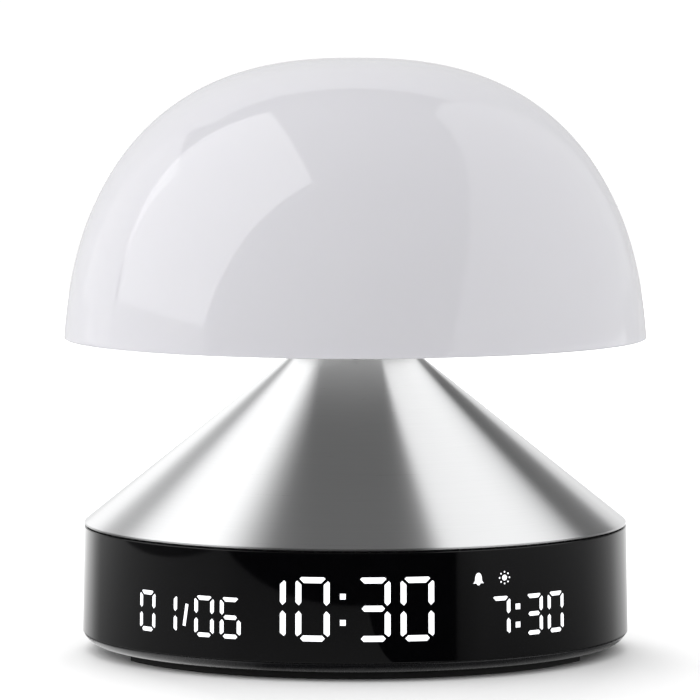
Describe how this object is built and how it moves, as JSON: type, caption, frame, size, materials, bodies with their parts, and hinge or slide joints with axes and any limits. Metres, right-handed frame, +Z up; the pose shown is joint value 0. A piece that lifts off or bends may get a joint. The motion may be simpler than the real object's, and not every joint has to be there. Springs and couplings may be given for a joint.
{
  "type": "sunrise alarm clock",
  "caption": "Bedside wake-up light: an opal dome lamp pressed down to switch, on a spun aluminium cone over a round base with a black band that shows the time.",
  "frame": {"origin": "on the table, under the middle of the clock", "axes": "+Z up through the dome; the display faces -Y; +X is to the right seen from the front"},
  "size_m": [0.1324, 0.1324, 0.1343],
  "materials": {
    "opal_plastic": "glossy opal white, moulded",
    "opal_plate": "satin opal white",
    "white_plastic": "satin white",
    "spun_aluminium": "spun and finely brushed, anodised clear",
    "plate_aluminium": "milled",
    "black_gloss": "polished black",
    "dark_case": "fine satin texture",
    "black_inner": "matt black",
    "grey_inner": "matt grey",
    "foot_rubber": "matt",
    "lit_guide": "clear guide lit white from behind",
    "button_plastic": "satin black",
    "white_board": "white solder mask",
    "green_board": "green solder mask",
    "amber_film": "amber film",
    "chip_black": "moulded epoxy",
    "led_body": "phosphor over white body",
    "connector_white": "natural nylon",
    "screw_steel": "zinc plated",
    "spring_steel": "drawn wire",
    "port_steel": "stamped and plated",
    "nickel_strip": "bright strip",
    "cell_wrap": "shrink film",
    "foam": "closed-cell foam",
    "speaker_paper": "pressed paper",
    "speaker_metal": "black pressed steel",
    "ferrite": "ground ferrite",
    "lead_jacket": "smooth jacket"
  },
  "bodies": {
    "base": {"cone_shell": "spun_aluminium", "neck_bushing": "white_plastic", "neck_screws": "screw_steel", "support_column": "grey_inner", "column_screws": "screw_steel", "return_spring": "spring_steel", "press_switch": "chip_black", "switch_board": "green_board", "base_tray": "dark_case", "tray_screws": "screw_steel", "chassis": "black_inner", "display_band": "black_gloss", "time_digits": "lit_guide", "date_digits": "lit_guide", "alarm_digits": "lit_guide", "bell_icon": "lit_guide", "sun_icon": "lit_guide", "display_light_box": "black_inner", "display_flex_board": "amber_film", "display_leds": "led_body", "key_strip": "green_board", "key_switches": "chip_black", "main_board": "green_board", "short_screws": "screw_steel", "board_chips": "chip_black", "board_capacitors": "nickel_strip", "board_connectors": "connector_white", "power_board": "green_board", "usb_port": "port_steel", "usb_tongue": "chip_black", "battery_cell": "cell_wrap", "battery_tabs": "nickel_strip", "battery_pad": "foam", "speaker_frame": "speaker_metal", "speaker_cone": "speaker_paper", "speaker_magnet": "ferrite", "speaker_gasket": "foam", "battery_lead": "lead_jacket", "speaker_lead": "lead_jacket", "power_lead": "lead_jacket", "lamp_lead": "lead_jacket", "display_ribbon": "amber_film", "front_foot": "foot_rubber", "rear_foot": "foot_rubber"},
    "head": {"dome_diffuser": "opal_plastic", "underside_diffuser": "opal_plate", "head_stem": "white_plastic", "stem_clip": "screw_steel", "stem_plug": "white_plastic", "lamp_heatsink": "plate_aluminium", "lamp_board": "white_board", "lamp_leds": "led_body", "lamp_screws": "screw_steel", "press_switch_plunger": "black_inner"},
    "light_button": {"light_button": "button_plastic"},
    "alarm_button": {"alarm_button": "button_plastic"},
    "clock_button": {"clock_button": "button_plastic"},
    "minus_button": {"minus_button": "button_plastic"},
    "plus_button": {"plus_button": "button_plastic"}
  },
  "joints": [
    {"name": "head_press", "type": "slide", "parent": "base", "child": "head", "axis": [0, 0, -1], "range_m": [0, 0.0012], "stiffness_N_per_m": 800, "springref_m": -0.004, "deforming": ["return_spring", "lamp_lead"]},
    {"name": "light_press", "type": "slide", "parent": "base", "child": "light_button", "axis": [-0.3746, -0.9272, 0], "range_m": [0, 0.0003], "stiffness_N_per_m": 300, "springref_m": -0.0015},
    {"name": "alarm_press", "type": "slide", "parent": "base", "child": "alarm_button", "axis": [-0.1908, -0.9816, 0], "range_m": [0, 0.0003], "stiffness_N_per_m": 300, "springref_m": -0.0015},
    {"name": "clock_press", "type": "slide", "parent": "base", "child": "clock_button", "axis": [0, -1, 0], "range_m": [0, 0.0003], "stiffness_N_per_m": 300, "springref_m": -0.0015},
    {"name": "minus_press", "type": "slide", "parent": "base", "child": "minus_button", "axis": [0.1908, -0.9816, 0], "range_m": [0, 0.0003], "stiffness_N_per_m": 300, "springref_m": -0.0015},
    {"name": "plus_press", "type": "slide", "parent": "base", "child": "plus_button", "axis": [0.3746, -0.9272, 0], "range_m": [0, 0.0003], "stiffness_N_per_m": 300, "springref_m": -0.0015}
  ]
}
